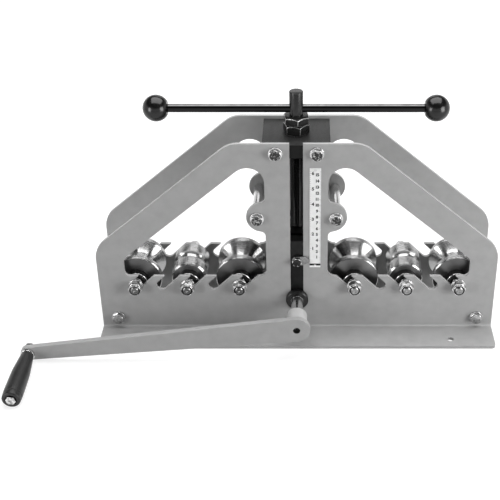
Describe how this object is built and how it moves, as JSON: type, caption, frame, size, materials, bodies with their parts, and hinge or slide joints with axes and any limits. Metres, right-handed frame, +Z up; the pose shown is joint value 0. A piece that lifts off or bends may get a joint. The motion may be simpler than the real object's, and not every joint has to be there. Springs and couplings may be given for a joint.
{
  "type": "ring roller",
  "caption": "Bench ring roller: two flanged plates carry side rollers, and a hand screw presses a cranked centre roller between them.",
  "frame": {"origin": "on the bench plane, at the centre of the four bench bolt holes", "axes": "+X along the machine to the scale's side, +Y away from the crank side, +Z up from the bench"},
  "size_m": [0.7192, 0.3371, 0.3805],
  "materials": {
    "grey_paint": "satin powder coat",
    "hub_paint": "satin powder coat",
    "black_oxide": "black oxide, oiled",
    "black_oxide_nut": "black oxide, bright worn edges",
    "black_screw": "black oxide, semi gloss",
    "zinc": "bright zinc plate",
    "bright_steel": "drawn bright steel",
    "die_steel": "turned and polished steel",
    "bronze": "sintered bronze",
    "nylon": "nylon locking ring",
    "white_scale": "printed white scale",
    "black_ball": "polished phenolic",
    "black_grip": "moulded, satin"
  },
  "bodies": {
    "frame": {"front_frame_plate": "grey_paint", "rear_frame_plate": "grey_paint", "top_beam": "black_oxide", "press_nut": "black_oxide_nut", "lock_nut": "black_oxide_nut", "beam_bolts": "zinc", "ear_bolts": "zinc", "foot_bolts": "zinc", "bolt_washers": "zinc", "ear_tie_rods": "bright_steel", "foot_tie_rods": "bright_steel", "scale_strip": "white_scale", "scale_rivets": "zinc", "axle_nuts": "zinc", "nut_inserts": "nylon", "axle_washers": "zinc", "roller_spacers": "black_oxide", "axle_outer_left": "bright_steel", "axle_middle_left": "bright_steel", "axle_inner_left": "bright_steel", "axle_inner_right": "bright_steel", "axle_middle_right": "bright_steel", "axle_outer_right": "bright_steel"},
    "press_slide": {"slide_block": "black_oxide", "front_cheek": "black_oxide", "rear_cheek": "black_oxide", "cheek_screws": "black_oxide_nut", "screw_keeper": "black_oxide", "keeper_screws": "zinc", "front_shaft_bush": "bronze", "rear_shaft_bush": "bronze", "pointer": "zinc", "pointer_bolt": "zinc"},
    "press_screw": {"lead_screw": "black_screw", "t_bar": "black_screw", "left_ball_knob": "black_ball", "right_ball_knob": "black_ball"},
    "crank": {"drive_shaft": "bright_steel", "centre_die": "die_steel", "drive_key": "bright_steel", "front_shaft_collar": "black_oxide", "rear_shaft_collar": "black_oxide", "crank_hub": "hub_paint", "crank_arm": "grey_paint", "handle_spindle": "zinc", "handle_ferrule": "zinc", "spindle_nut": "zinc"},
    "handle": {"handle_grip": "black_grip"},
    "roller_outer_left": {"die_outer_left": "die_steel", "bush_outer_left": "bronze"},
    "roller_middle_left": {"die_middle_left": "die_steel", "bush_middle_left": "bronze"},
    "roller_inner_left": {"die_inner_left": "die_steel", "bush_inner_left": "bronze"},
    "roller_inner_right": {"die_inner_right": "die_steel", "bush_inner_right": "bronze"},
    "roller_middle_right": {"die_middle_right": "die_steel", "bush_middle_right": "bronze"},
    "roller_outer_right": {"die_outer_right": "die_steel", "bush_outer_right": "bronze"}
  },
  "joints": [
    {"name": "press_lift", "type": "slide", "parent": "frame", "child": "press_slide", "axis": [0, 0, 1], "range_m": [0, 0.13]},
    {"name": "screw_turn", "type": "hinge", "parent": "press_slide", "child": "press_screw", "pos_m": [0, 0, 0.16], "axis": [0, 0, 1], "range_deg": [0, 18720]},
    {"name": "crank_turn", "type": "hinge", "parent": "press_slide", "child": "crank", "pos_m": [0, 0, 0.058], "axis": [0, 1, 0], "continuous": true},
    {"name": "grip_spin", "type": "hinge", "parent": "crank", "child": "handle", "pos_m": [-0.40166, -0.186, 0.01458], "axis": [0, 1, 0], "continuous": true},
    {"name": "spin_outer_left", "type": "hinge", "parent": "frame", "child": "roller_outer_left", "pos_m": [-0.2459, 0, 0.082], "axis": [0, 1, 0], "continuous": true},
    {"name": "spin_middle_left", "type": "hinge", "parent": "frame", "child": "roller_middle_left", "pos_m": [-0.1667, 0, 0.082], "axis": [0, 1, 0], "continuous": true},
    {"name": "spin_inner_left", "type": "hinge", "parent": "frame", "child": "roller_inner_left", "pos_m": [-0.0875, 0, 0.082], "axis": [0, 1, 0], "continuous": true},
    {"name": "spin_inner_right", "type": "hinge", "parent": "frame", "child": "roller_inner_right", "pos_m": [0.0875, 0, 0.082], "axis": [0, 1, 0], "continuous": true},
    {"name": "spin_middle_right", "type": "hinge", "parent": "frame", "child": "roller_middle_right", "pos_m": [0.1667, 0, 0.082], "axis": [0, 1, 0], "continuous": true},
    {"name": "spin_outer_right", "type": "hinge", "parent": "frame", "child": "roller_outer_right", "pos_m": [0.2459, 0, 0.082], "axis": [0, 1, 0], "continuous": true}
  ],
  "couplings": [
    {"joint": "screw_turn", "follows": "press_lift", "rad_per_m": 2513.3}
  ]
}
